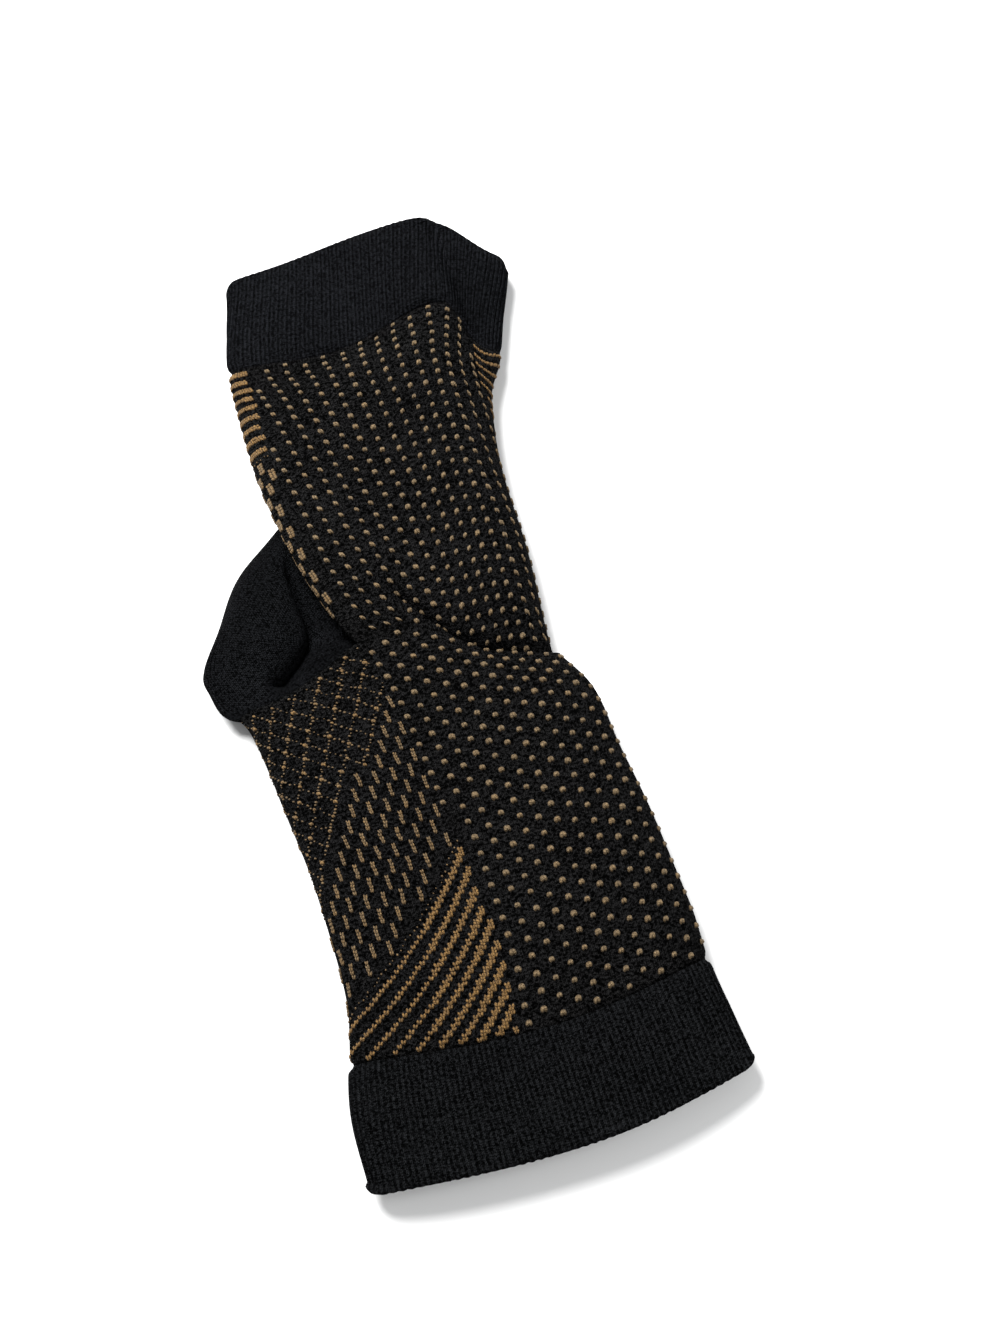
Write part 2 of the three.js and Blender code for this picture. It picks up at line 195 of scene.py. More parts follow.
# The chart of the pattern, in wales from the middle of the front panel and courses from a cuff.
# border is the edge of the dotted panel. Beyond it come slanted bars, then dashes, then a trellis.
# The slanted lines are given at the wale CHART_FROM and fall by a slope for each wale beyond it.
# A bar loses a row past each of the wales thin_after, which move out by bar_growth from bar to bar.
# stitch_size is a wale and a course in millimetres.
CHART_FROM = 26
CHART_BEFORE = 4  # the slanted lines start this many wales before it, where the panel leaves room
DASH_WALES = 2
BAR_ROWS = ((-0.8, 0, 0.8), (-0.45, 0.45), (0,))
BEAD_LINE = 0.6  # of a bar's step, from the first bar to the dotted line beyond it
LATTICE_OUT = (3.3, 3.2)  # a step of the trellis away from the panel, in wales and courses
LATTICE_IN = (-2.0, 4.3)  # and one towards it
LATTICE_BEADS = (0.25, 0.5, 0.75)
LATTICE_MARGIN = 40  # steps, so that the slanted trellis fills its corners
KNOT_SIZE = (0.76, 0.72)
DOT_COLUMNS = 12  # on each side of the middle one
FIRST_DOT = 2.2
PANEL_CLEAR = 0.6  # from the border to the nearest dots
SIDE_CLEAR = 0.4  # and to the nearest stitches outside it
FIRST_COURSE = 0.6
LAST_COURSE = 1.2  # before the end of the knit
# Tone, from pale tan at 0 to deep gold at 1, and width of each kind of stitch
DOT_LOOK = (0, 1.0)
BAR_LOOK = (1.0, 1.0)
BAR_BEAD_LOOK = (0.5, 0.8)
KNOT_LOOK = (0.6, 1.0)
BEAD_LOOK = (0.2, 1.2)
DASH_TONE = 0.3
TONE_SPREAD = 0.2
# How far the stitches wander from their places, as a share of a stitch
EVEN_WANDER = 0.07
KNOT_WANDER = 0.17
BEAD_WANDER = 0.22
SIZE_SPREAD = 1.6  # of the wander
LEAN_SPREAD = 0.06
FOOT_BORDER = table("course half", (0, 25), (40, 25.7), (58, 26.6), (72, 28.2), (126, 28.4))
FOOT_SIDE = {
    "border": FOOT_BORDER, "bar_top": 52.9, "bar_slope": 1.58, "bar_curl": 0.010, "bar_step": 5.78,
    "thin_after": (2, 14), "bar_growth": 0.8,
}
FOOT_CHART = {
    "left": FOOT_SIDE, "right": FOOT_SIDE, "dot_wales": 3.85, "dot_courses": 4.75,
    "dot_size": (1.12, 1.08), "stitch_size": (1.09, 0.82), "dash_step": 9.0,
    "dash_stitches": 4, "dash_width": 0.76, "dash_end": 200, "lattice_top": 109.5, "lattice_slope": 1.9,
}
LEG_LEFT = {
    "border": table("course half", (0, 22), (10, 22.8), (28, 25), (54, 28), (79, 29.8), (142, 29.8)),
    "bar_top": 45.0, "bar_slope": 0.15, "bar_curl": 0, "bar_step": 5.2, "thin_after": (0, 60),
    "bar_growth": 0,
}
LEG_RIGHT = {
    "border": table("course half", (0, 26.6), (10, 26.8), (25, 27.4), (33, 28.4), (42, 33), (60, 45)),
    "bar_top": 34.0, "bar_slope": 0.35, "bar_curl": 0, "bar_step": 4.8, "thin_after": (0, 0),
    "bar_growth": 0,
}
LEG_CHART = {
    "left": LEG_LEFT, "right": LEG_RIGHT, "dot_wales": 3.75, "dot_courses": 4.6,
    "dot_size": (0.98, 1.06), "stitch_size": (1.13, 0.7), "dash_step": 9.0,
    "dash_stitches": 4, "dash_width": 1.3, "dash_end": 112, "lattice_top": 400.0, "lattice_slope": 1,
}

# Camera: the photo's angle, its focal length and where the aimed point lands, in its pixels
IMAGE_HEIGHT = 1333
IMAGE_CENTRE = (500, 666.5)
AIM_PIXEL = (490, 700)
FOCAL_PIXELS = 2075
SENSOR_HEIGHT = 36.0
CAMERA_ELEVATION = 70.0
CAMERA_AZIMUTH = -11.5
CAMERA_DISTANCE = 0.5
AIM_POINT = Vector((0.0125, -0.009, 0))


# Small helpers

def lerp(a, b, t):
    return a + (b - a) * t


def smoothstep(x, low, high):
    t = np.clip((x - low) / (high - low), 0, 1)
    return t * t * (3 - 2 * t)


def section_at(sections, at):
    """Every column of a table at places along it, on a smooth curve through its rows."""
    places = sections["at"]
    last = len(places) - 1
    row = np.clip(np.searchsorted(places, at) - 1, 0, last - 1)
    before, after = np.maximum(row - 1, 0), np.minimum(row + 2, last)
    span = places[row + 1] - places[row]
    t = (at - places[row]) / span
    section = {}
    for name, column in sections.items():
        near, far = column[row], column[row + 1]
        leaving = (far - column[before]) / (places[row + 1] - places[before]) * span
        arriving = (column[after] - near) / (places[after] - places[row]) * span
        section[name] = (
            near * (1 + 2 * t) * (1 - t) ** 2 + leaving * t * (1 - t) ** 2
            + far * t * t * (3 - 2 * t) + arriving * t * t * (t - 1)
        )
    return section


def hump(place, peak, power):
    """A hump of height 1 at the place peak, level at both ends."""
    turn = np.where(place < peak, 0.5 * place / peak, 1 - 0.5 * (1 - place) / (1 - peak))
    return np.maximum(np.sin(np.pi * np.clip(turn, 0, 1)), 0) ** power


def fold_place(path, x, y):
    """For plan points: how far they lie to the right of a fold's path, their nearest place on it,
    counted in its points, and the plan direction to its right."""
    nearest = np.full_like(x, 1e9)
    aside, place = np.zeros_like(x), np.zeros_like(x)
    right_x, right_y = np.zeros_like(x), np.zeros_like(x)
    for i in range(len(path["x"]) - 1):
        run_x, run_y = path["x"][i + 1] - path["x"][i], path["y"][i + 1] - path["y"][i]
        length = math.hypot(run_x, run_y)
        off_x, off_y = x - path["x"][i], y - path["y"][i]
        along = np.clip((off_x * run_x + off_y * run_y) / length ** 2, 0, 1)
        away = np.hypot(off_x - along * run_x, off_y - along * run_y)
        closer = away < nearest
        nearest = np.where(closer, away, nearest)
        side = np.where(off_x * run_y - off_y * run_x > 0, 1, -1)
        aside = np.where(closer, side * away, aside)
        place = np.where(closer, i + along, place)
        right_x = np.where(closer, run_y / length, right_x)
        right_y = np.where(closer, -run_x / length, right_y)
    return aside, place, right_x, right_y


def on_path(path, column, place):
    """A column of a fold's path at places along it."""
    return np.interp(place, np.arange(len(path["x"])), path[column])


def fold_depth(folds, x, y):
    """How deep the folds press the upper layer at plan points."""
    total = np.zeros_like(x)
    for each in folds:
        path = each["path"]
        aside, place, _, _ = fold_place(path, x, y)
        width = np.where(aside < 0, on_path(path, "near", place), on_path(path, "far", place))
        fall = np.exp(-((np.abs(aside) / width) ** each["power"]))
        total = total + on_path(path, "depth", place) * fall
    return total


def fold_shift(folds, x, y):
    """How far the lips of the folds lean over their valleys, along x and y."""
    shift_x, shift_y = np.zeros_like(x), np.zeros_like(x)
    for each in folds:
        if each["lip"]:
            path = each["path"]
            aside, place, right_x, right_y = fold_place(path, x, y)
            lean = 1.5 * each["lip"] * on_path(path, "depth", place) / path["depth"].max()
            lean = lean * np.exp(-((aside / each["lip"] + 1) ** 2))
            shift_x, shift_y = shift_x + lean * right_x, shift_y + lean * right_y
    return shift_x, shift_y


ANKLE = {name: column[0] for name, column in FOOT_SECTIONS.items()}


def ankle_line_y(x):
    """Where the leg and the heel meet the foot: the plan line of the foot's first section."""
    place = np.clip((ANKLE["right_x"] - x) / (ANKLE["right_x"] - ANKLE["left_x"]), 0, 1)
    straight = lerp(ANKLE["right_y"], ANKLE["left_y"], place)
    return straight + ANKLE["bow"] * hump(place, ANKLE["bow_at"], ANKLE["bow_power"])


def upper_height(section, across, x, y, inset, folds):
    """Height of the upper layer of a ring."""
    place = (1 - across) / 2
    fold = lerp(section["right_z"], section["left_z"], place)
    full = np.where(across > 0, section["right_full"], section["left_full"])
    roll = np.sqrt(np.maximum(1 - np.abs(across) ** full, 0))
    ridge = section["ridge"] * np.exp(-(((across - section["ridge_at"]) / RIDGE_WIDTH) ** 2))
    crown = section["crown"] + ridge - fold_depth(folds, x, y) - inset
    return fold + (crown - fold) * roll


def ankle_top(x, y, inset, folds):
    """Height of the foot's first ring, where the leg and the heel run into it."""
    place = np.clip((ANKLE["right_x"] - x) / (ANKLE["right_x"] - ANKLE["left_x"]), 0, 1)
    return upper_height(ANKLE, 1 - 2 * place, x, y, inset, folds)


def turn_parts(turn):
    """Whether a turn is on the upper layer, and how far across it lies, from 1 right to -1 left."""
    upper = turn <= 0.5
    sweep = np.where(upper, 1 - 4 * turn, 4 * turn - 3)
    return upper, np.sin(np.pi / 2 * sweep)


def leaned(folds, x, y, upper, across):
    """Plan points with the lips of folds leaned over, on the upper layer alone."""
    shift_x, shift_y = fold_shift(folds, x, y)
    share = np.where(upper, 1 - across ** 6, 0)
    return x + shift_x * share, y + shift_y * share


def ring_point(section, turn, inset, meets_foot, folds=FOLDS):
    """Points of rings. turn goes once round: 0 at the right fold, over the upper layer to the left
    fold at 0.5, and back under the lower layer. inset moves the point into the wall."""
    upper, across = turn_parts(turn)
    place = (1 - across) / 2
    width = np.hypot(section["right_x"] - section["left_x"], section["right_y"] - section["left_y"])
    slide = lerp(inset / width, 1 - inset / width, place)
    x = lerp(section["right_x"], section["left_x"], slide)
    y = lerp(section["right_y"], section["left_y"], slide)
    y = y + section["bow"] * hump(place, section["bow_at"], section["bow_power"])
    y = y + np.where(upper, 0, section["under"] * (1 - across ** 4))
    y = lerp(y, ankle_line_y(x), meets_foot)

    own_top = upper_height(section, across, x, y, inset, folds)
    top = lerp(own_top, ankle_top(x, y, inset, folds), meets_foot)
    lift = np.maximum(section["lift"], 0) * (1 - smoothstep(across, TUCK_FROM, TUCK_TO))
    floor = lift + inset
    fold = lerp(section["right_z"], section["left_z"], place)
    roll = UNDER_PRESS * np.sqrt(np.maximum(1 - np.abs(across) ** UNDER_FULLNESS, 0))
    under = np.maximum(fold - (fold - floor) * roll, floor)
    return np.stack([*leaned(folds, x, y, upper, across), np.where(upper, top, under)], axis=-1)


def heel_point(section, turn, inset, meets_foot):
    """Points of the heel pocket, from the upper mouth edge round the outer fold to the lower one."""
    upper, across = turn_parts(turn)
    place = (1 - across) / 2
    width = np.hypot(section["rim_x"] - section["mouth_x"], section["rim_y"] - section["mouth_y"])
    slide = place * (1 - inset / width)
    x = lerp(section["mouth_x"], section["rim_x"], slide)
    ankle = ankle_line_y(x)
    beyond = lerp(section["mouth_y"], section["rim_y"], slide) - ankle
    beyond = (beyond + np.sqrt(beyond ** 2 + HEEL_CLEAR ** 2)) / 2
    y = ankle + beyond * (1 - meets_foot)
    roll = np.where(across < 0, np.sqrt(np.maximum(1 - np.abs(across) ** HEEL_FULLNESS, 0)), 1)
    ceiling = lerp(section["puff"], section["gore"], smoothstep(across, *HEEL_PUFF_TO))
    tucked = smoothstep(across, section["gore_to"] - GORE_DROP, section["gore_to"])
    ceiling = lerp(ceiling, ankle_top(x, y, 0, FOLDS), meets_foot)
    ceiling = lerp(ceiling, section["valley"], tucked) - inset
    top = section["rim_z"] + (ceiling - section["rim_z"]) * roll - fold_depth(HEEL_FOLDS, x, y) * roll
    under = np.maximum(section["rim_z"] - (section["rim_z"] - inset) * UNDER_PRESS * roll, inset)
    return np.stack([*leaned(HEEL_FOLDS, x, y, upper, across), np.where(upper, top, under)], axis=-1)


class Knit:
    """The outer face of a knitted piece as rows of points, with its normals. wales numbers the
    columns. courses counts the stitches along each column from the first row."""

    def __init__(self, points, wales, pitch, closed, floor=FLOOR_CLEAR):
        self.wales, self.closed, self.floor = wales, closed, floor
        self.points = points
        self.normals = self.face_normals()
        lengths = np.linalg.norm(np.diff(points, axis=0), axis=2) / pitch[1:, None]
        self.courses = np.concatenate([np.zeros((1, len(wales))), np.cumsum(lengths, axis=0)])
        rows = np.arange(len(points))
        self.steps = np.linspace(0, self.courses[-1].max(), 2 * len(points))
        self.row_at = np.stack([np.interp(self.steps, column, rows) for column in self.courses.T])

    def face_normals(self):
        along = np.gradient(self.points, axis=0)
        if self.closed:
            ring = self.points[:, :-1]
            sideways = np.roll(ring, -1, axis=1) - np.roll(ring, 1, axis=1)
            sideways = np.concatenate([sideways, sideways[:, :1]], axis=1)
        else:
            sideways = np.gradient(self.points, axis=1)
        normals = np.cross(sideways, along)
        normals /= np.maximum(np.linalg.norm(normals, axis=2, keepdims=True), 1e-9)
        highest = np.unravel_index(self.points[..., 2].argmax(), normals.shape[:2])
        return normals * np.sign(normals[highest][2])

    def raise_by(self, relief):
        self.points = self.points + self.normals * relief[..., None]
        self.points[..., 2] = np.maximum(self.points[..., 2], self.floor)
        self.normals = self.face_normals()

    def column(self, wale):
        first, last = self.wales[0], self.wales[-1]
        if self.closed:
            wale = first + (wale - first) % (last - first)
        return np.clip((wale - first) / (self.wales[1] - first), 0, len(self.wales) - 1.001)

    def length(self, wale):
        """How many courses the face has at these wales."""
        return self.courses[-1][self.column(wale).astype(int)]

    def stitch_size(self, wale, course):
        """How wide and how long a stitch is at these wales and courses."""
        flat = np.zeros_like(wale)
        width = self.at(wale + 0.5, course, flat) - self.at(wale - 0.5, course, flat)
        length = self.at(wale, course + 0.5, flat) - self.at(wale, course - 0.5, flat)
        return [np.linalg.norm(run, axis=1) for run in (width, length)]

    def at(self, wale, course, height):
        """Points over the face at fractional wales and courses."""
        column = self.column(wale)
        step = np.clip(course / self.steps[1], 0, len(self.steps) - 1.001)
        row = between(self.row_at, column, step)
        row = np.clip(row, 0, len(self.points) - 1.001)
        place, normal = between(self.points, row, column), between(self.normals, row, column)
        return place + normal * height[..., None]


def between(grid, row, column):
    """A grid's value at fractional rows and columns."""
    i, j = row.astype(int), column.astype(int)
    t, s = row - i, column - j
    if grid.ndim == 3:
        t, s = t[..., None], s[..., None]
    near = grid[i, j] * (1 - s) + grid[i, j + 1] * s
    far = grid[i + 1, j] * (1 - s) + grid[i + 1, j + 1] * s
    return near * (1 - t) + far * t


def even_turns(sections, at, wales, meets_foot, columns):
    """Turns that put the columns evenly round each ring, from the middle of the front panel, as it
    would be with no folds pressed in."""
    section = {name: value[:, None] for name, value in section_at(sections, at).items()}
    dense = np.linspace(0, 1, 721)[None, :]
    ring = ring_point(section, np.broadcast_to(dense, (len(at), 721)), 0.0, meets_foot[:, None], ())
    run = np.cumsum(np.linalg.norm(np.diff(ring, axis=1), axis=2), axis=1)
    run = np.concatenate([np.zeros((len(at), 1)), run], axis=1)
    front_turn = (1 - np.arcsin(1 - 2 * section["front"][:, 0]) * 2 / np.pi) / 4
    turns = np.empty((len(at), len(columns)))
    for i in range(len(at)):
        middle = np.interp(front_turn[i], dense[0], run[i])
        want = (middle + columns / wales * run[i, -1]) % run[i, -1]
        turns[i] = np.interp(want, run[i], dense[0])
    return turns


def mesh_from_grid(name, points, wales, courses, closed):
    """A grid bent to the points, its seams welded, with wales and courses as its UV map."""
    rows, columns = points.shape[:2]
    wales = np.broadcast_to(wales, (rows, columns))
    bm = bmesh.new()
    bm.loops.layers.uv.new("knit")
    bmesh.ops.create_grid(bm, x_segments=columns - 1, y_segments=rows - 1, size=0.5, calc_uvs=True)
    mesh = bpy.data.meshes.new(name)
    bm.to_mesh(mesh)
    bm.free()
    flat = np.empty(len(mesh.vertices) * 3, np.float32)
    mesh.vertices.foreach_get("co", flat)
    flat = flat.reshape(-1, 3)
    column = np.rint((flat[:, 0] + 0.5) * (columns - 1)).astype(int)
    row = np.rint((flat[:, 1] + 0.5) * (rows - 1)).astype(int)
    mesh.vertices.foreach_set("co", (points[row, column] * MM).astype(np.float32).ravel())
    corner = np.empty(len(mesh.loops), np.int32)
    mesh.loops.foreach_get("vertex_index", corner)
    uv = np.stack([wales[row, column], courses[row, column]], axis=1)[corner]
    mesh.uv_layers["knit"].uv.foreach_set("vector", uv.astype(np.float32).ravel())
    bm = bmesh.new()
    bm.from_mesh(mesh)
    if closed:
        bmesh.ops.remove_doubles(bm, verts=[v for v in bm.verts if v.is_boundary], dist=2e-6)
    bmesh.ops.recalc_face_normals(bm, faces=bm.faces)
    bm.normal_update()
    middle = sum(v.co.z for v in bm.verts) / len(bm.verts)
    if sum(f.normal.z * (f.calc_center_median().z - middle) for f in bm.faces) < 0:
        bmesh.ops.reverse_faces(bm, faces=bm.faces)
    bm.to_mesh(mesh)
    bm.free()
    mesh.shade_smooth()
    return mesh


def add_piece(name, mesh, material, node=None):
    piece = bpy.data.objects.new(name, mesh)
    bpy.context.scene.collection.objects.link(piece)
    mesh.materials.append(material)
    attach(piece, "root")
    if node:
        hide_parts(node)
    return piece


# Relief of the knit, in millimetres

def soft_waves(points):
    x, y = points[..., 0], points[..., 1]
    return sum(height * np.sin(x / wide + y / long + start) for height, wide, long, start in WAVES)


def fade_ends(rows, length):
    """1 in the middle of a piece, falling to 0 at its first and last row."""
    row = np.arange(rows)
    return smoothstep(row, 0, length) * smoothstep(rows - 1 - row, 0, length)


def cuff_relief(wale, points):
    return CUFF_RIB * np.cos(2 * np.pi * wale / CUFF_RIB_WALES) + CUFF_WAVES * soft_waves(points)


def tube_relief(wale, points):
    return TUBE_RIB * np.cos(2 * np.pi * wale) + soft_waves(points)


# Building a tube zone

def knit_tube(name, sections, start, end, pitch, wales, wall, relief, upwards,
              meets_foot=False, round_last=False):
    """A hollow knitted tube as one closed wall, from a start to an end along a table of sections.
    upwards is 1 where that runs towards the leg opening, as the stitches do, and -1 where it runs
    towards the toes. Returns the mesh and its outer face."""
    rows = round(abs(end - start) / ROW_STEP) + 1
    places = np.linspace(start, end, rows)
    columns = np.linspace(-wales / 2, wales / 2, wales * COLUMNS_PER_WALE + 1)
    meets = np.clip(1 - (end - places) / ANKLE_RUN, 0, 1) ** 2 if meets_foot else np.zeros(rows)
    places = places + (end - places) * meets
    turns = even_turns(sections, places, wales, meets, columns)

    def ring_rows(at, inset, turn, meet):
        at = np.repeat(at[:, None], len(columns), axis=1)
        if round_last:
            side = np.clip((np.abs(turn_parts(turn)[1]) - CORNER_FROM) / (1 - CORNER_FROM), 0, 1)
            share = np.maximum((at - start) / (end - start), 0) ** 3
            at = at - np.sign(end - start) * CORNER_ROUND * (1 - np.sqrt(1 - side ** 2)) * share
        return ring_point(section_at(sections, at), turn, inset[:, None], meet[:, None])

    outer = ring_rows(places, np.zeros(rows), turns, meets)
    floor = FLOOR_CLEAR if round_last else STITCH_CLEAR
    face = Knit(outer, columns, np.interp(places, pitch["at"], pitch["pitch"]), True, floor)
    wave = relief(columns[None, :], face.points)
    groove = GROOVE * np.exp(-((np.abs(places - start) / GROOVE_WIDTH) ** 2))
    face.raise_by(wave * fade_ends(rows, TUBE_FADE)[:, None] - groove[:, None])

    pick = np.unique(np.linspace(0, rows - 1, max(INNER_LEAST, rows // INNER_EVERY)).astype(int))[::-1]
    inner = ring_rows(places[pick], np.full(len(pick), wall), turns[pick], meets[pick])

    bend = np.linspace(0, np.pi, RIM_ROWS + 2)[1:-1] if round_last else np.empty(0)
    rim_at = end + np.sign(end - start) * RIM_ROUND * np.sin(bend)
    rim_inset = wall / 2 * (1 - np.cos(bend))
    rim_turns = np.repeat(turns[-1:], len(bend), axis=0)
    rim_courses = np.repeat(face.courses[-1:], len(bend), axis=0)
    outward = face.points[-1] - face.points[-3]
    outward = outward / np.linalg.norm(outward, axis=1, keepdims=True)
    scallop = np.cos(2 * np.pi * columns / SCALLOP_WALES)
    scallop = scallop * (0.6 + 0.4 * np.sin(columns / SCALLOP_DRIFT))
    rim = ring_rows(rim_at, rim_inset, rim_turns, np.zeros(len(bend)))
    rim = rim + outward * (SCALLOP * scallop)[:, None] * np.sin(bend)[:, None, None]

    loop = np.concatenate([face.points, rim, inner, face.points[:1]])
    loop_courses = np.concatenate([face.courses, rim_courses, face.courses[pick], face.courses[:1]])
    return mesh_from_grid(name, loop, columns, loop_courses * upwards, True), face


def heel_pouch(name):
    """The heel pocket as one bent sheet, which gets its wall from a modifier."""
    length = HEEL_SECTIONS["at"][-1]
    rows = round(length / ROW_STEP) + 1
    at = np.linspace(0, length, rows)
    turn = np.linspace(0, 1, HEEL_COLUMNS + 1)
    section = {k: v[:, None] for k, v in section_at(HEEL_SECTIONS, at).items()}
    meets = smoothstep(at, length - HEEL_RUN, length)[:, None]
    turns = np.broadcast_to(turn[None, :], (rows, len(turn)))
    face = Knit(heel_point(section, turns, 0.0, meets), turn, np.full(rows, HEEL_PITCH), False)
    steps = np.linalg.norm(np.diff(face.points, axis=1), axis=2) / HEEL_WALE
    wales = np.concatenate([np.zeros((rows, 1)), np.cumsum(steps, axis=1)], axis=1)
    wales = wales - wales[:, HEEL_COLUMNS // 2][:, None]
    ribbed = 1 - smoothstep(np.abs(wales), *HEEL_RIB_WIDE)
    ribbed = ribbed * smoothstep(at, *HEEL_RIB_FROM)[:, None]
    wave = ribbed * HEEL_RIB * np.cos(2 * np.pi * wales / HEEL_RIB_WALES) + soft_waves(face.points)
    face.raise_by(wave * fade_ends(rows, HEEL_FADE)[:, None])
    return mesh_from_grid(name, face.points, wales, face.courses, False)


# Gold yarn stitches, as templates in millimetres across, along and up

YARN_DIP = 0.7  # how far its ends go down, as a share of its radius
YARN_SWELL = 0.6
YARN_FLAT = 0.8
MIRRORED = (-1, 1)


def spindle(start, end, radius, height, rings=2, sides=5):
    """A short length of yarn, thick in the middle, between two plan points."""
    start, end = np.array(start, float), np.array(end, float)
    run = end - start
    side = np.array([-run[1], run[0]]) / np.linalg.norm(run)
    points = [(*start, height - radius * YARN_DIP)]
    for ring in range(rings):
        t = (ring + 1) / (rings + 1)
        swell = math.sin(math.pi * t) ** YARN_SWELL
        for k in range(sides):
            turn = 2 * math.pi * k / sides
            plan = start + run * t + side * (radius * swell * math.cos(turn))
            points.append((*plan, height + radius * YARN_FLAT * swell * math.sin(turn)))
    points.append((*end, height - radius * YARN_DIP))
    faces, tip = [], len(points) - 1
    for k in range(sides):
        following = (k + 1) % sides
        faces.append((0, 1 + following, 1 + k))
        faces.append((tip, tip - sides + k, tip - sides + following))
        for ring in range(rings - 1):
            a, b = 1 + ring * sides, 1 + (ring + 1) * sides
            faces.append((a + k, a + following, b + following))
            faces.append((a + k, b + following, b + k))
    return np.array(points), np.array(faces)


def joined(*shapes):
    points, faces, count = [], [], 0
    for shape_points, shape_faces in shapes:
        points.append(shape_points)
        faces.append(shape_faces + count)
        count += len(shape_points)
    return np.concatenate(points), np.concatenate(faces)


def vee_stitch():
    return joined(*(spindle((k * 0.52, 0.8), (k * 0.12, -0.72), 0.36, 0.08) for k in MIRRORED))


def dot_loop(size):
    """A raised stitch: two fat legs of yarn that meet at the top, scaled across and along."""
    legs = (spindle((k * 0.06, 0.9), (k * 0.47, -0.85), 0.44, 0.12, sides=6) for k in MIRRORED)
    points, faces = joined(*legs)
    return points * np.array([*size, size[0]]), faces


def purl_bump():
    return spindle((-0.34, -0.06), (0.34, -0.06), 0.25, 0.08)


def border_at(border, course):
    return np.interp(course, border["course"], border["half"])


def bar_line(side, wale):
    """The course of the first bar at a wale."""
    beyond = wale - CHART_FROM
    return side["bar_top"] - side["bar_slope"] * beyond + side["bar_curl"] * beyond ** 2


def bar_stitches(side, last_wale):
    """Slanted bars of stitches, thinner far from the panel, with a dotted line beyond the first."""
    bars, beads = [], []
    for wale in range(CHART_FROM - CHART_BEFORE, last_wale):
        top = bar_line(side, wale)
        for bar in range(int(side["bar_top"] / side["bar_step"]) + 2):
            beyond = wale - CHART_FROM - bar * side["bar_growth"]
            rows = BAR_ROWS[sum(beyond > wales for wales in side["thin_after"])]
            bars += [(wale, top - bar * side["bar_step"] + row, *BAR_LOOK) for row in rows]
        beads.append((wale, top + side["bar_step"] * BEAD_LINE, *BAR_BEAD_LOOK))
    return bars, beads


def dash_stitches(chart, side, last_wale, courses):
    """Upright dashes in brick order, between the bars and the trellis."""
    dashes, step = [], chart["dash_step"]
    for wale in range(CHART_FROM - CHART_BEFORE, last_wale):
        lattice = chart["lattice_top"] - chart["lattice_slope"] * (wale - CHART_FROM)
        if wale % DASH_WALES == 1:
            lowest = max(bar_line(side, wale) + side["bar_step"], 1)
            highest = min(lattice + 1, chart["dash_end"])
            start = step / 2 * (wale // DASH_WALES % 2)
            for dash in range(int(courses / step) + 1):
                low = start + dash * step
                if lowest < low + 1 < highest:
                    for stitch in range(chart["dash_stitches"]):
                        dashes.append((wale, low + stitch, DASH_TONE, chart["dash_width"]))
    return dashes


def lattice_stitches(chart, last_wale, courses):
    """A trellis of small beads with a knot where its lines cross."""
    knots, beads = [], []
    outs, ins = int(last_wale / LATTICE_OUT[0]) + LATTICE_MARGIN, int(courses / LATTICE_IN[1]) + 1
    for i in range(-ins, outs):
        for j in range(-outs, ins):
            wale = CHART_FROM + i * LATTICE_OUT[0] + j * LATTICE_IN[0]
            course = i * LATTICE_OUT[1] + j * LATTICE_IN[1]
            if course > chart["lattice_top"] - chart["lattice_slope"] * (wale - CHART_FROM):
                knots.append((wale, course, *KNOT_LOOK))
                for step in (LATTICE_OUT, LATTICE_IN):
                    for t in LATTICE_BEADS:
                        beads.append((wale + t * step[0], course + t * step[1], *BEAD_LOOK))
    return knots, beads


def side_stitches(chart, side, mirror, last_wale, courses):
    """Stitches outside the panel on one side: bars and dashes, then knots, then beads."""
    bars, bar_beads = bar_stitches(side, last_wale)
    knots, beads = lattice_stitches(chart, last_wale, courses)
    kinds = []
    for stitches in (bars + dash_stitches(chart, side, last_wale, courses), knots, bar_beads + beads):
        stitches = np.array(stitches, float).reshape(-1, 4)
        beyond = stitches[:, 0] > border_at(side["border"], stitches[:, 1]) + SIDE_CLEAR
        kept = stitches[beyond & (stitches[:, 0] < last_wale) & (stitches[:, 1] > FIRST_COURSE)]
        kinds.append(kept * np.array([mirror, 1, 1, 1]))
    return kinds


def panel_dots(chart, courses):
    """The dots of the front panel, in columns that drop by half a step in turn."""
    dots = []
    for column in range(-DOT_COLUMNS, DOT_COLUMNS + 1):
        wale = column * chart["dot_wales"]
        border = chart["left" if wale > 0 else "right"]["border"]
        drop = chart["dot_courses"] / 2 * (column % 2)
        for row in range(int(courses / chart["dot_courses"]) + 1):
            course = FIRST_DOT + drop + row * chart["dot_courses"]
            if abs(wale) < border_at(border, course) - PANEL_CLEAR:
                dots.append((wale, course, *DOT_LOOK))
    return np.array(dots)


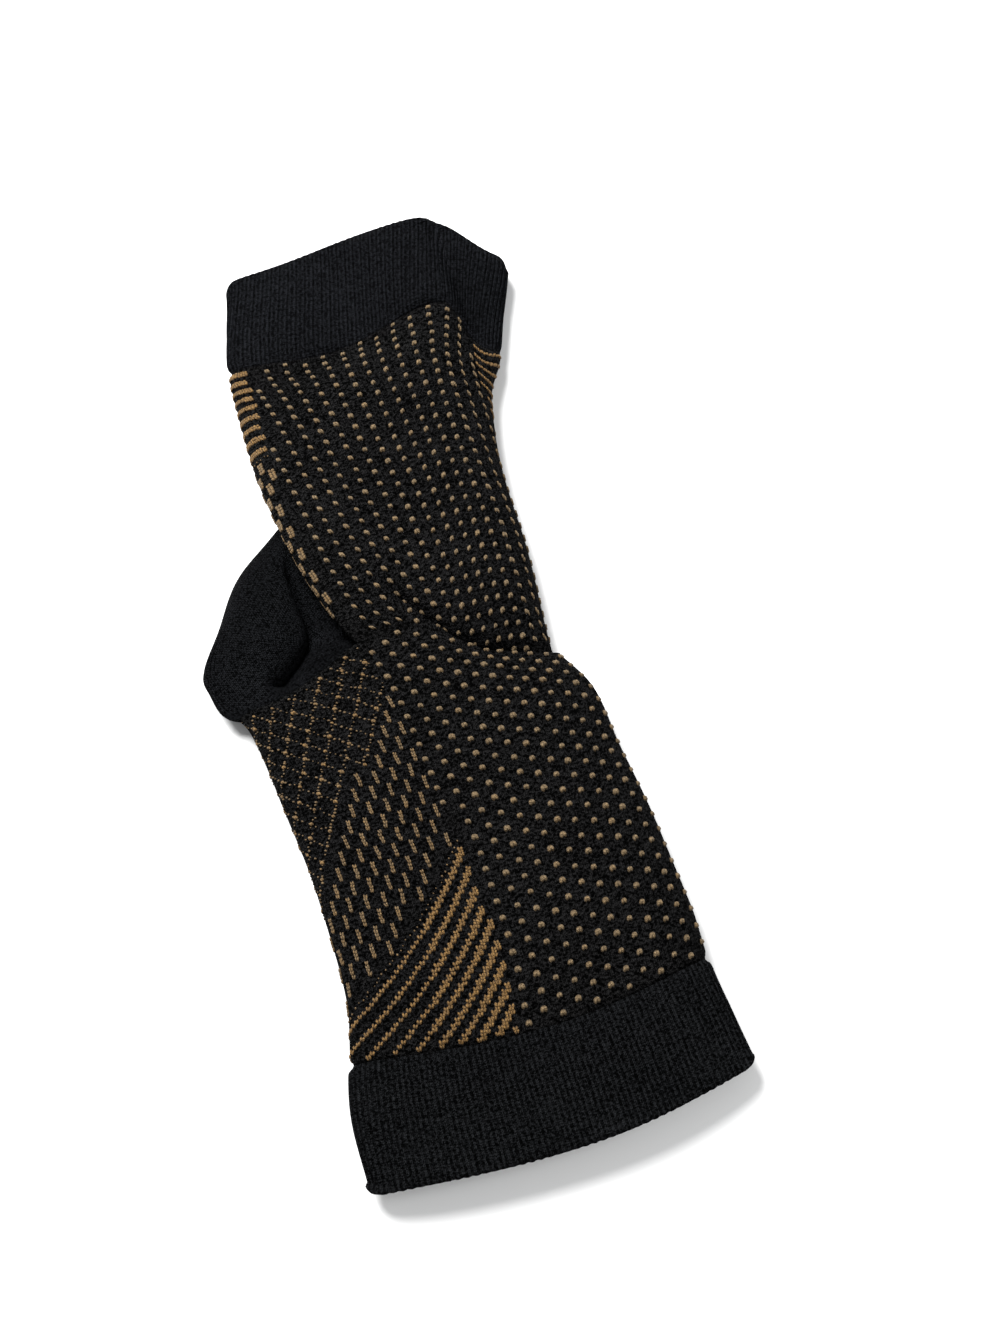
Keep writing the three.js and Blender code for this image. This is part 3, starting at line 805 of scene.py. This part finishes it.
def lay_stitches(face, template, stitches, wander, sizes, half_turn, rng):
    """Copies of a stitch laid on a knitted face, each off its place and size by about wander. sizes are
    a wale and a course in millimetres, or None for a stitch that keeps its own size. Returns points,
    faces, each point's tone, and each point's painted light: high for a painted highlight on the crown
    and far end of its stitch, low for painted shade in its hollows."""
    points, faces = template
    stitches = stitches[stitches[:, 1] < face.length(stitches[:, 0]) - LAST_COURSE]
    count = len(stitches)
    size = 1 + rng.uniform(-SIZE_SPREAD, SIZE_SPREAD, count) * wander
    across = stitches[:, 0] + rng.normal(0, wander, count)
    along = stitches[:, 1] + rng.normal(0, wander, count)
    lean = rng.normal(0, LEAN_SPREAD + wander, count) + (math.pi if half_turn else 0)
    x = points[None, :, 0] * (size * stitches[:, 3])[:, None]
    y = points[None, :, 1] * size[:, None]
    turned_x = x * np.cos(lean)[:, None] - y * np.sin(lean)[:, None]
    turned_y = x * np.sin(lean)[:, None] + y * np.cos(lean)[:, None]
    wale_size, course_size = sizes or [run[:, None] for run in face.stitch_size(across, along)]
    wale = across[:, None] + turned_x / wale_size
    course = along[:, None] + turned_y / course_size
    laid = face.at(wale, course, np.broadcast_to(points[None, :, 2], wale.shape))
    laid[..., 2] = np.maximum(laid[..., 2], FLOOR_CLEAR)
    tone = stitches[:, 2] + rng.uniform(-TONE_SPREAD, TONE_SPREAD, count)
    # Painted light for each point: highest on the raised crown and far end of its stitch for a painted
    # highlight, lowest in its hollows for painted shade.
    up, forth = ((points[:, i] - points[:, i].min()) / np.ptp(points[:, i]) for i in (2, 1))
    crown = np.tile(up * (0.6 + 0.4 * forth), count)
    joined_faces = faces[None] + (np.arange(count) * len(points))[:, None, None]
    return laid.reshape(-1, 3), joined_faces.reshape(-1, 3), np.repeat(tone, len(points)), crown


def stitch_mesh(name, parts):
    """One mesh from several lots of laid stitches, with tone and painted light, a painted highlight on
    the crowns and painted shade in the hollows, as point attributes.
    """
    points, faces = joined(*(part[:2] for part in parts))
    tones, painted_lights = (np.concatenate([part[i] for part in parts]) for i in (2, 3))
    mesh = bpy.data.meshes.new(name)
    mesh.from_pydata((points * MM).tolist(), [], faces.tolist())
    bm = bmesh.new()
    bm.from_mesh(mesh)
    bmesh.ops.recalc_face_normals(bm, faces=bm.faces)
    bm.to_mesh(mesh)
    bm.free()
    for attribute, values in (("gold_tone", tones), ("yarn_painted_light", painted_lights)):
        layer = mesh.attributes.new(attribute, "FLOAT", "POINT")
        layer.data.foreach_set("value", values.astype(np.float32))
    mesh.shade_smooth()
    return mesh


def gold_stitches(name, face, chart, half_turn, rng):
    """All gold stitches of one half. half_turn is for a half whose courses are counted down its
    length."""
    courses, last_wale = face.courses.max(), int(face.wales[-1])
    left = side_stitches(chart, chart["left"], 1, last_wale, courses)
    right = side_stitches(chart, chart["right"], -1, last_wale, courses)
    lots = [(dot_loop(chart["dot_size"]), panel_dots(chart, courses), EVEN_WANDER, None)]
    kinds = (
        (vee_stitch(), EVEN_WANDER), (dot_loop(KNOT_SIZE), KNOT_WANDER), (purl_bump(), BEAD_WANDER),
    )
    for (template, wander), on_left, on_right in zip(kinds, left, right):
        both = np.concatenate([on_left, on_right])
        lots.append((template, both, wander, chart["stitch_size"]))
    return stitch_mesh(name, [lay_stitches(face, *lot, half_turn, rng) for lot in lots])


# Materials

BLACK_GAP_SHADE = (0.0003, 0.0003, 0.0003)  # the darkest black: painted shade between the yarns and ribs, and the darkest fleck of the yarn
BLACK_GLOSS = 0.012
# Gold with painted shade in the hollows of its yarn and a painted highlight on its crowns, each in a
# pale and a deep tone
GOLD_PAINTED_SHADE = ((0.045, 0.027, 0.009), (0.055, 0.026, 0.004))
GOLD_PAINTED_HIGHLIGHT = ((0.24, 0.168, 0.088), (0.31, 0.174, 0.05))
GOLD_FLECK_SCALE = 2600
GOLD_BUMP = 0.15
GOLD_GLOSS = 0.25
GOLD_SHEEN = 0.05
SHADE_SCALE = 60
FLECK_RANGE = (0.36, 0.66)


class Nodes:
    """Adds and links shader nodes in one tree."""

    def __init__(self, tree):
        self.tree = tree

    def add(self, kind, **settings):
        node = self.tree.nodes.new(kind)
        for key, value in settings.items():
            setattr(node, key, value)
        return node

    def link(self, source, target):
        self.tree.links.new(source, target)

    def math(self, operation, *inputs):
        node = self.add("ShaderNodeMath", operation=operation)
        for socket, value in zip(node.inputs, inputs):
            if isinstance(value, (int, float)):
                socket.default_value = value
            else:
                self.link(value, socket)
        return node.outputs[0]


def stitch_group():
    """Height of plain knit: a V of two yarn legs at every wale and course of the UV map, of which
    the right one lies over the left."""
    group = bpy.data.node_groups.new("plain_knit_stitches", "ShaderNodeTree")
    group.interface.new_socket("Knit", in_out="INPUT", socket_type="NodeSocketVector")
    group.interface.new_socket("Height", in_out="OUTPUT", socket_type="NodeSocketFloat")
    n = Nodes(group)
    inward, outward = n.add("NodeGroupInput"), n.add("NodeGroupOutput")
    split = n.add("ShaderNodeSeparateXYZ")
    n.link(inward.outputs["Knit"], split.inputs[0])
    across = n.math("FRACT", split.outputs["X"])
    leg = n.math("MULTIPLY", n.math("ABSOLUTE", n.math("SUBTRACT", across, 0.5)), 2.0)
    upper_leg = n.math("MULTIPLY_ADD", n.math("LESS_THAN", across, 0.5), 0.55, 0.45)
    rising = n.math("SUBTRACT", split.outputs["Y"], n.math("MULTIPLY", leg, 0.75))
    round_along = n.math("SINE", n.math("MULTIPLY", n.math("FRACT", rising), math.pi))
    round_across = n.math("SINE", n.math("MULTIPLY", leg, math.pi))
    stitch = n.math("MULTIPLY", round_along, round_across)
    n.link(n.math("MULTIPLY", stitch, upper_leg), outward.inputs["Height"])
    return group


def yarn_group():
    """A slow shade of random lighter and darker patches, and a fine fleck of stray fibres of yarn."""
    group = bpy.data.node_groups.new("yarn_unevenness", "ShaderNodeTree")
    group.interface.new_socket("Fleck Scale", in_out="INPUT", socket_type="NodeSocketFloat")
    group.interface.new_socket("Shade", in_out="OUTPUT", socket_type="NodeSocketFloat")
    group.interface.new_socket("Fleck", in_out="OUTPUT", socket_type="NodeSocketFloat")
    n = Nodes(group)
    inward, outward = n.add("NodeGroupInput"), n.add("NodeGroupOutput")
    place = n.add("ShaderNodeTexCoord")
    slow = n.add("ShaderNodeTexNoise")
    slow.inputs["Scale"].default_value = SHADE_SCALE
    slow.inputs["Detail"].default_value = 3
    fine = n.add("ShaderNodeTexNoise")
    fine.inputs["Detail"].default_value = 1
    fine.inputs["Distortion"].default_value = 0.4
    spread = n.add("ShaderNodeMapRange")
    spread.inputs["From Min"].default_value = FLECK_RANGE[0]
    spread.inputs["From Max"].default_value = FLECK_RANGE[1]
    n.link(place.outputs["Object"], slow.inputs["Vector"])
    n.link(place.outputs["Object"], fine.inputs["Vector"])
    n.link(inward.outputs["Fleck Scale"], fine.inputs["Scale"])
    n.link(slow.outputs["Fac"], outward.inputs["Shade"])
    n.link(fine.outputs["Fac"], spread.inputs["Value"])
    n.link(spread.outputs["Result"], outward.inputs["Fleck"])
    return group


KNIT_STITCHES = stitch_group()
YARN_UNEVENNESS = yarn_group()


def new_material(name):
    """A material with its nodes and its shader."""
    material = bpy.data.materials.new(name)
    material.use_nodes = True
    return material, Nodes(material.node_tree), material.node_tree.nodes["Principled BSDF"]


def add_relief(n, shader, height, depth):
    """Bumps of yarn, with their depth in millimetres."""
    relief = n.add("ShaderNodeBump")
    relief.inputs["Strength"].default_value = 1
    relief.inputs["Distance"].default_value = depth * MM
    n.link(height, relief.inputs["Height"])
    n.link(relief.outputs["Normal"], shader.inputs["Normal"])


def mix_colour(n, factor, low, high):
    mix = n.add("ShaderNodeMix", data_type="RGBA")
    colour_inputs = [s for s in mix.inputs if s.type == "RGBA"]
    for socket, value in zip(colour_inputs, (low, high)):
        if isinstance(value, tuple):
            socket.default_value = (*value, 1)
        else:
            n.link(value, socket)
    n.link(factor, mix.inputs["Factor"])
    return [s for s in mix.outputs if s.type == "RGBA"][0]


def black_knit(name, light, stitch_share, fleck_scale, fleck_share, bump, painted_rib_shade=0):
    """Black yarn in plain knit, with painted shade that darkens its colour in the hollows of its
    stitches and in the gaps between its ribs. The shares are how much its stitches (in relief and in
    painted shade), its uneven yarn and the painted shade between its ribs show."""
    material, n, shader = new_material(name)
    uv = n.add("ShaderNodeUVMap", uv_map="knit")
    knit = n.add("ShaderNodeGroup", node_tree=KNIT_STITCHES)
    n.link(uv.outputs["UV"], knit.inputs["Knit"])
    uneven = n.add("ShaderNodeGroup", node_tree=YARN_UNEVENNESS)
    uneven.inputs["Fleck Scale"].default_value = fleck_scale
    fleck, height = uneven.outputs["Fleck"], knit.outputs["Height"]
    grain = n.math("MULTIPLY_ADD", fleck, 1.8 * fleck_share, 1 - 0.9 * fleck_share)
    # Painted shade: the colour darkens in the hollows of each stitch's V.
    painted_stitch_shade = n.math("MULTIPLY_ADD", height, 2 * stitch_share, 1 - 0.58 * stitch_share)
    if painted_rib_shade:
        wale = n.add("ShaderNodeSeparateXYZ")
        n.link(uv.outputs["UV"], wale.inputs[0])
        # Painted shade in the gaps between the ribs.
        rib = n.math("COSINE", n.math("MULTIPLY", wale.outputs["X"], 2 * math.pi / CUFF_RIB_WALES))
        painted_stitch_shade = n.math("MULTIPLY", painted_stitch_shade, n.math("MULTIPLY_ADD", rib, painted_rib_shade, 1))
    shade = n.math("MULTIPLY_ADD", uneven.outputs["Shade"], 0.5, 0.25)
    crown = n.math("MULTIPLY", n.math("MULTIPLY", grain, painted_stitch_shade), shade)
    n.link(mix_colour(n, crown, BLACK_GAP_SHADE, light), shader.inputs["Base Color"])
    n.link(n.math("MULTIPLY_ADD", fleck, 0.12, 0.78), shader.inputs["Roughness"])
    stitch_height = n.math("MULTIPLY", height, stitch_share)
    add_relief(n, shader, n.math("MULTIPLY_ADD", fleck, fleck_share, stitch_height), bump)
    shader.inputs["Specular IOR Level"].default_value = BLACK_GLOSS
    return material


def gold_yarn(name):
    """Gold yarn from pale tan in the dots to deep gold in the bars, with the twist of its plies,
    painted shade in the hollows of its stitches and a painted highlight on their crowns.
    """
    material, n, shader = new_material(name)
    tone = n.add("ShaderNodeAttribute", attribute_name="gold_tone")
    uneven = n.add("ShaderNodeGroup", node_tree=YARN_UNEVENNESS)
    uneven.inputs["Fleck Scale"].default_value = GOLD_FLECK_SCALE
    painted_shade_colour = mix_colour(n, tone.outputs["Fac"], *GOLD_PAINTED_SHADE)
    painted_highlight_colour = mix_colour(n, tone.outputs["Fac"], *GOLD_PAINTED_HIGHLIGHT)
    # Painted light: the colour runs from painted shade in the hollows of each stitch to a painted
    # highlight on its crown and far end, broken up by the fleck.
    crown = n.add("ShaderNodeAttribute", attribute_name="yarn_painted_light")
    shade = n.math("MULTIPLY_ADD", uneven.outputs["Fleck"], 0.9, 0.15)
    shade = n.math("MULTIPLY", n.math("POWER", crown.outputs["Fac"], 2.0), shade)
    n.link(mix_colour(n, shade, painted_shade_colour, painted_highlight_colour), shader.inputs["Base Color"])
    n.link(n.math("MULTIPLY_ADD", uneven.outputs["Fleck"], 0.2, 0.62), shader.inputs["Roughness"])
    add_relief(n, shader, uneven.outputs["Fleck"], GOLD_BUMP)
    shader.inputs["Specular IOR Level"].default_value = GOLD_GLOSS
    shader.inputs["Sheen Weight"].default_value = GOLD_SHEEN
    return material


# Stage: floor, light and camera

FLOOR_REACH = 3
FLOOR_COLOUR = (0.86, 0.86, 0.855, 1)
ROOM_COLOUR = (0.97, 0.985, 1, 1)
ROOM_LIGHT = 0.4


def make_stage():
    bm = bmesh.new()
    bmesh.ops.create_grid(bm, x_segments=8, y_segments=8, size=FLOOR_REACH)
    mesh = bpy.data.meshes.new("floor")
    bm.to_mesh(mesh)
    bm.free()
    floor = bpy.data.objects.new("floor", mesh)
    bpy.context.scene.collection.objects.link(floor)
    material, _, shader = new_material("pale_floor")
    shader.inputs["Base Color"].default_value = FLOOR_COLOUR
    shader.inputs["Roughness"].default_value = 0.9
    mesh.materials.append(material)

    world = bpy.data.worlds.new("soft_room")
    world.use_nodes = True
    background = world.node_tree.nodes["Background"]
    background.inputs["Color"].default_value = ROOM_COLOUR
    background.inputs["Strength"].default_value = ROOM_LIGHT
    bpy.context.scene.world = world


def add_light(name, place, side, power):
    """A soft round lamp aimed at the origin."""
    light = bpy.data.lights.new(name, "AREA")
    light.shape = "DISK"
    light.size = side
    light.energy = power
    lamp = bpy.data.objects.new(name, light)
    lamp.location = place
    lamp.rotation_euler = (-Vector(place)).to_track_quat("-Z", "Y").to_euler()
    bpy.context.scene.collection.objects.link(lamp)


def add_camera():
    elevation, azimuth = math.radians(CAMERA_ELEVATION), math.radians(CAMERA_AZIMUTH)
    back = Vector((
        math.sin(azimuth) * math.cos(elevation),
        -math.cos(azimuth) * math.cos(elevation),
        math.sin(elevation),
    ))
    lens = bpy.data.cameras.new("camera")
    lens.sensor_fit = "VERTICAL"
    lens.sensor_height = SENSOR_HEIGHT
    lens.lens = FOCAL_PIXELS / IMAGE_HEIGHT * SENSOR_HEIGHT
    lens.shift_x = (IMAGE_CENTRE[0] - AIM_PIXEL[0]) / IMAGE_HEIGHT
    lens.shift_y = (AIM_PIXEL[1] - IMAGE_CENTRE[1]) / IMAGE_HEIGHT
    camera = bpy.data.objects.new("camera", lens)
    camera.location = AIM_POINT + back * CAMERA_DISTANCE
    camera.rotation_euler = (-back).to_track_quat("-Z", "Y").to_euler()
    bpy.context.scene.collection.objects.link(camera)
    bpy.context.scene.camera = camera


# Putting the sock together

rng = np.random.default_rng(SEED)
rib_knit = black_knit(
    "black_rib_knit", light=(0.0142, 0.0152, 0.0178), stitch_share=0.9, fleck_scale=1500,
    fleck_share=0.8, bump=0.6, painted_rib_shade=0.5,
)
foot_rib_knit = black_knit(
    "black_foot_rib_knit", light=(0.0144, 0.0151, 0.0164), stitch_share=0.9, fleck_scale=1500,
    fleck_share=1.0, bump=0.6, painted_rib_shade=0.6,
)
ground_knit = black_knit(
    "black_ground_knit", light=(0.0156, 0.0153, 0.0156), stitch_share=0.6, fleck_scale=1400,
    fleck_share=1.1, bump=1.2,
)
heel_knit = black_knit(
    "black_heel_knit", light=(0.0188, 0.0198, 0.0224), stitch_share=1.4, fleck_scale=1600,
    fleck_share=0.95, bump=1.2,
)
gold = gold_yarn("gold_yarn")

leg_end, foot_end = LEG_SECTIONS["at"][-1], FOOT_SECTIONS["at"][-1]
leg_cuff_mesh, _ = knit_tube(
    "leg_cuff_knit", LEG_SECTIONS, LEG_CUFF_LENGTH, 0, CUFF_PITCH, CUFF_WALES, CUFF_WALL,
    cuff_relief, upwards=1, round_last=True,
)
leg_mesh, leg_face = knit_tube(
    "leg_tube_knit", LEG_SECTIONS, LEG_CUFF_LENGTH, leg_end, LEG_PITCH, LEG_WALES, TUBE_WALL,
    tube_relief, upwards=-1, meets_foot=True,
)
foot_mesh, foot_face = knit_tube(
    "foot_tube_knit", FOOT_SECTIONS, FOOT_CUFF_START, 0, FOOT_PITCH, FOOT_WALES, TUBE_WALL,
    tube_relief, upwards=1,
)
foot_cuff_mesh, _ = knit_tube(
    "foot_cuff_knit", FOOT_SECTIONS, FOOT_CUFF_START, foot_end, CUFF_PITCH, CUFF_WALES, CUFF_WALL,
    cuff_relief, upwards=-1, round_last=True,
)
heel_mesh = heel_pouch("heel_pocket_knit")

leg_cuff = add_piece("leg_cuff_knit", leg_cuff_mesh, rib_knit, "leg_cuff")
leg_tube = add_piece("leg_tube_knit", leg_mesh, ground_knit, "leg_tube")
foot_tube = add_piece("foot_tube_knit", foot_mesh, ground_knit, "foot_tube")
foot_cuff = add_piece("foot_cuff_knit", foot_cuff_mesh, foot_rib_knit, "foot_cuff")
heel = add_piece("heel_pocket_knit", heel_mesh, heel_knit, "heel_pocket")
wall = heel.modifiers.new("wall", "SOLIDIFY")
wall.thickness = HEEL_WALL * MM
wall.offset = -1

foot_stitches = gold_stitches("foot_gold_stitches", foot_face, FOOT_CHART, False, rng)
foot_gold = add_piece("foot_gold_stitches", foot_stitches, gold)
leg_stitches = gold_stitches("leg_gold_stitches", leg_face, LEG_CHART, True, rng)
leg_gold = add_piece("leg_gold_stitches", leg_stitches, gold)

make_stage()
add_light("key", (-0.25, 0.5, 0.6), side=0.45, power=17)
add_light("fill", (0.5, -0.25, 0.6), side=0.6, power=3)
add_camera()
bpy.context.scene.view_settings.view_transform = "Standard"
